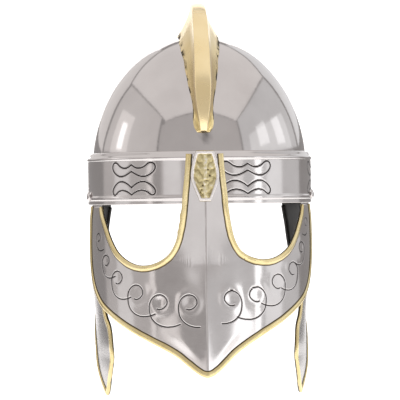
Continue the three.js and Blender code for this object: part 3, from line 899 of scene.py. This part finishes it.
def make_flaps():
    rows, tab_rows, columns = 110, 6, 48
    for name, side in SIDES.items():
        sheet = flap_sheet(side)
        deepest = FLAP["tip_share"]
        share = np.linspace(0, deepest, rows)
        front = place_inside(sheet, FLAP_CURVE, share, side, SHEET_EDGE)
        rear = place_inside(sheet, FLAP_CURVE, 1 - share, side, SHEET_EDGE)
        tab_levels = np.linspace(FLAP["tab_top"], 1, tab_rows)
        tab_front = np.stack([np.full(tab_rows, FLAP["tab_front"]), tab_levels], axis=-1)
        tab_rear = np.stack([np.full(tab_rows, FLAP["tab_rear"] - SHEET), tab_levels], axis=-1)
        front = np.vstack([tab_front, front])[:, None]
        rear = np.vstack([tab_rear, rear])[:, None]
        across = np.linspace(0, 1, columns)[None, :, None]
        net = front + (rear - front) * across
        y, z = net[..., 0], net[..., 1]
        uneven = 0.12 * waves(sheet[0](y, z), length=50, seed=5 + side)
        outer = offset(sheet[0], y, z, SHEET / 2 + uneven)
        inner = offset(sheet[0], y, z, np.full_like(y, -SHEET / 2))[:, ::-4]
        flap = sheet_object(f"ear_flap_{name}_sheet", outer, inner, SHADED_SATIN_STEEL)
        stand_for(flap, f"ear_flap_{name}")
        shares = np.linspace(0.002, 0.998, TRIM_STEPS["flap"])
        trim = make_channel(f"flap_trim_{name}_fold", sheet, FLAP_CURVE, side, shares)
        stand_for(trim, f"flap_trim_{name}")


# ---------------------------------------------------------------- brow ornament

ornament_half_width = through([(3.5, 4.2), (10, 6.9), (20, 10.8), (26, 11.8), (36, 10.4), (47.5, 7)])
LEAF_PITS = [(3.2, 25.5), (0.6, 21.5), (-1.4, 17), (-2.4, 13.5), (-4.2, 11), (-3.4, 8.5), (1.5, 31)]


def leaf_relief(x, z, edge):
    """Heights of the cast face: a rounded rim round a sunk field with a veined leaf."""
    rim = smooth_step(edge, 0, 0.9) * (1 - smooth_step(edge, 2.5, 3.6))
    field = smooth_step(edge, 2.7, 3.7)
    drift = 0.9 * np.sin(0.37 * z + 1.3 * x) + 0.5 * np.sin(1.1 * z - 0.7 * x)
    lobes = np.abs(np.sin((z - 0.95 * np.abs(x) + drift) * math.pi / ORNAMENT["rib_spacing"]))
    vein = np.exp(-((x / 0.8) ** 2))
    blade = 0.75 * lobes * (1 - vein) + 0.9 * vein
    for pit_x, pit_z in LEAF_PITS:
        blade = blade - 1.1 * np.exp(-((x - pit_x) ** 2 + (z - pit_z) ** 2) / 0.8)
    return rim, field, blade


def make_ornament():
    levels = np.linspace(ORNAMENT["bottom"], ORNAMENT["top"], 130)[:, None]
    across = np.linspace(-1, 1, 84)[None, :]
    half = ornament_half_width(levels)
    end = np.minimum(levels - ORNAMENT["bottom"], ORNAMENT["top"] - levels)
    edge = np.minimum((1 - np.abs(across)) * half * 0.94, end)
    x, z = np.broadcast_arrays(across * half, levels)
    rim, field, blade = leaf_relief(x, z, edge)
    lift = ORNAMENT["edge"] + (ORNAMENT["rim"] - ORNAMENT["edge"]) * np.maximum(rim, 0.28 * field)
    lift = lift + ORNAMENT["leaf"] * field * blade
    u = PER_RADIAN * np.arcsin(x / mask_half_width(z))
    bottom = SHEET / 2 + GAP / 2
    outer = offset(mask_surface, u, z, bottom + lift)
    inner = offset(mask_surface, u, z, np.full_like(u, bottom))[:, ::-12]
    points = np.concatenate([outer, inner], axis=1)
    relief = np.clip(0.25 + 0.45 * blade * field + 0.75 * rim, 0, 1)
    shade = np.concatenate([relief, np.full(inner.shape[:2], 0.5)], axis=1)
    ornament = grid_object("brow_ornament_casting", points, [CAST_BRASS], shades={"relief": shade})
    stand_for(ornament, "brow_ornament")


# ---------------------------------------------------------------- rivets


def make_rivets():
    turn = np.linspace(0, math.pi / 2, 12)
    dome = [(RIVET["radius"] * math.sin(a), RIVET["height"] * math.cos(a)) for a in turn]
    shank, grip = RIVET["shank"], RIVET["grip"]
    wide, end = RIVET_TAIL["radius"], -grip - RIVET_TAIL["height"]
    tail = [(shank, 0), (shank, -grip), (wide, -grip), (wide, end), (0, end)]
    profile = np.array(dome + tail)
    around = np.linspace(0, 2 * math.pi, 40, endpoint=False)[:, None]
    for place, angle in RIVET_ANGLES.items():
        for name, side in SIDES.items():
            across, along = side * math.sin(angle), -math.cos(angle)
            seat = np.array([BAND["half_width"] * across, BAND["half_depth"] * along, RIVET["level"]])
            outwards = unit(np.array([BAND["half_depth"] * across, BAND["half_width"] * along, 0]))
            upright = np.array([0, 0, 1.0])
            level = np.cross(upright, outwards)
            reach, height = profile[None, :, 0, None], profile[None, :, 1, None]
            ring = np.cos(around)[..., None] * level + np.sin(around)[..., None] * upright
            points = seat + outwards * (SHEET / 2 + GAP * 0.3 + height) + ring * reach
            rivet = grid_object(f"{place}_rivet_{name}_head", points, [STEEL], close_rows=True, weld=True)
            stand_for(rivet, f"{place}_rivet_{name}")


make_bowl()
make_band()
make_crest()
make_mask()
make_mask_trims()
make_flaps()
make_ornament()
make_rivets()

# ---------------------------------------------------------------- studio

FLOOR_LEVEL = -0.1705
AIM = Vector((0.0006, 0.0, 0.0047))


def stage_material(name, brightness, glow):
    material, tree, shader = new_material(name)
    tone = noise(tree, 1.5, 2.0)
    colour = ramp(tree, tone, [(0.3, (brightness,) * 3), (0.7, (brightness * 1.02,) * 3)])
    tree.links.new(colour, shader.inputs["Base Color"])
    shader.inputs["Roughness"].default_value = 0.9
    shader.inputs["Emission Color"].default_value = (1.0, 1.0, 1.0, 1.0)
    shader.inputs["Emission Strength"].default_value = glow
    return material


def make_backdrop():
    """A pale floor that sweeps up behind the helmet."""
    radius, back, top = 0.5, 1.9, 1.6
    bend = np.linspace(0, math.pi / 2, 17)
    path = [(-3.2, 0.0), (back - radius, 0.0)]
    path += [(back - radius + radius * math.sin(a), radius * (1 - math.cos(a))) for a in bend[1:]]
    path.append((back, top))
    half_width = 0.6
    verts = [(x, y, FLOOR_LEVEL + z) for y, z in path for x in (-half_width, half_width)]
    faces = [(2 * i, 2 * i + 1, 2 * i + 3, 2 * i + 2) for i in range(len(path) - 1)]
    mesh = bpy.data.meshes.new("backdrop")
    mesh.from_pydata(verts, [], faces)
    mesh.materials.append(stage_material("backdrop_white", 0.9, 0.8))
    mesh.polygons.foreach_set("use_smooth", [True] * len(faces))
    backdrop = bpy.data.objects.new("backdrop", mesh)
    bpy.context.scene.collection.objects.link(backdrop)
    backdrop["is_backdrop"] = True


def soft_wall(name, facing, azimuths, elevations, radiance, colour=(1.0, 1.0, 1.0), distance=2.7):
    """An upright rectangular light on the side of the helmet that lies at azimuth facing.

    It spans these azimuths, and these elevations straight in front of its wall. Azimuth 0 is in
    front of the helmet, and +90 on the +X side."""
    low_side, high_side = [distance * math.tan(math.radians(a - facing)) for a in azimuths]
    bottom, top = [distance * math.tan(math.radians(e)) for e in elevations]
    turn = math.radians(facing)
    outwards = Vector((math.sin(turn), -math.cos(turn), 0.0))
    sideways = Vector((math.cos(turn), math.sin(turn), 0.0))
    middle = outwards * distance + sideways * (low_side + high_side) / 2
    middle.z = (bottom + top) / 2
    panel(name, middle, (abs(high_side - low_side), top - bottom), outwards, radiance, colour)


def ceiling_panel(name, height, half_width, front, back, radiance, colour):
    """A level rectangular light above the helmet."""
    middle = Vector((0.0, (front + back) / 2, height))
    panel(name, middle, (2 * half_width, back - front), Vector((0.0, 0.0, 1.0)), radiance, colour)


def panel(name, middle, size, away, radiance, colour):
    """A rectangular light that shines against the direction away."""
    light = bpy.data.lights.new(name, "AREA")
    light.shape = "RECTANGLE"
    light.size, light.size_y = size
    light.energy = radiance * math.pi * light.size * light.size_y
    light.color = colour
    lamp = bpy.data.objects.new(name, light)
    lamp.location = AIM + middle
    lamp.rotation_euler = away.to_track_quat("Z", "Y").to_euler()
    bpy.context.scene.collection.objects.link(lamp)


def make_world():
    world = bpy.data.worlds.new("studio")
    world.use_nodes = True
    background = world.node_tree.nodes["Background"]
    background.inputs["Color"].default_value = (0.35, 0.335, 0.33, 1.0)
    background.inputs["Strength"].default_value = 1.0
    bpy.context.scene.world = world


def make_camera():
    """The camera stands level, a little to the wearer's right of the front."""
    azimuth, roll, distance = math.radians(-2.4), math.radians(-0.7), 2.4
    camera = bpy.data.cameras.new("camera")
    camera.lens = 237.0
    camera.sensor_width = 36.0
    camera.dof.use_dof = False
    eye = bpy.data.objects.new("camera", camera)
    forwards = Vector((-math.sin(azimuth), math.cos(azimuth), 0.0))
    eye.location = AIM - forwards * distance
    turned = forwards.to_track_quat("-Z", "Y")
    eye.rotation_euler = (turned @ Quaternion((0.0, 0.0, 1.0), roll)).to_euler()
    bpy.context.scene.collection.objects.link(eye)
    bpy.context.scene.camera = eye


make_backdrop()
make_world()
make_camera()
WARM, COOL = (1.0, 0.965, 0.95), (0.95, 0.975, 1.0)

# The lights are named from where the camera stands, so left is -X here.
# The upper panels meet at thin dark seams that show in the bowl.
soft_wall("front_upper", 0, (-54.5, 50.5), (10, 46.4), 0.24, WARM, 2.8)
soft_wall("left_upper", -90, (-132.5, -56.3), (10, 41.7), 0.40, WARM)
soft_wall("right_upper", 90, (52.3, 134.5), (10, 41.7), 0.42, COOL)
soft_wall("back_left", 180, (-162, -136), (9, 40), 0.5, WARM)
soft_wall("back_right", 180, (138, 162), (9, 40), 0.6, COOL)
ceiling_panel("ceiling", 2.0, 2.16, -1.84, 2.15, 0.55, WARM)
soft_wall("left_glow", -90, (-120, -94), (10, 29), 0.25, WARM, 2.6)
soft_wall("left_spot", -90, (-111, -102), (12, 24), 0.8, COOL, 2.5)
soft_wall("right_glow", 90, (62, 122), (10, 25), 0.25, COOL, 2.6)
soft_wall("right_spot", 90, (74, 88), (15, 27), 0.4, COOL, 2.5)
soft_wall("right_rear_spot", 90, (99, 112), (13, 25), 0.4, COOL, 2.5)

# The lower panels show in the band, the mask and the flaps.
soft_wall("front_lower", 0, (-47, 47), (-14, 9), 0.26, WARM, 2.8)
soft_wall("front_left", 0, (-44, -24), (-8, 9), 0.38, COOL, 2.6)
soft_wall("front_right", 0, (35, 47), (-14, 9), 0.45, COOL, 2.6)
soft_wall("left_facet", -50, (-54, -47.5), (-14, 9), 0.1, WARM)
soft_wall("left_edge", -60, (-62, -56), (-14, 9), 0.75, WARM)
soft_wall("left_lower", -90, (-122, -62), (-14, 9), 0.26, WARM)
soft_wall("left_lower_glow", -90, (-104, -84), (-14, 9), 0.3, COOL, 2.6)
soft_wall("right_edge", 60, (60, 68), (-14, 9), 1.3, COOL)
soft_wall("right_lower", 90, (47.5, 125), (-14, 9), 0.38, COOL)
soft_wall("right_lower_glow", 90, (74, 96), (-14, 9), 0.4, COOL, 2.6)

bpy.context.scene.view_settings.view_transform = "Standard"

sizes = {"start": BOUNDS_AT_START, "end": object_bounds()}
{key: [list(map(float, corner)) for corner in box] for key, box in sizes.items()}
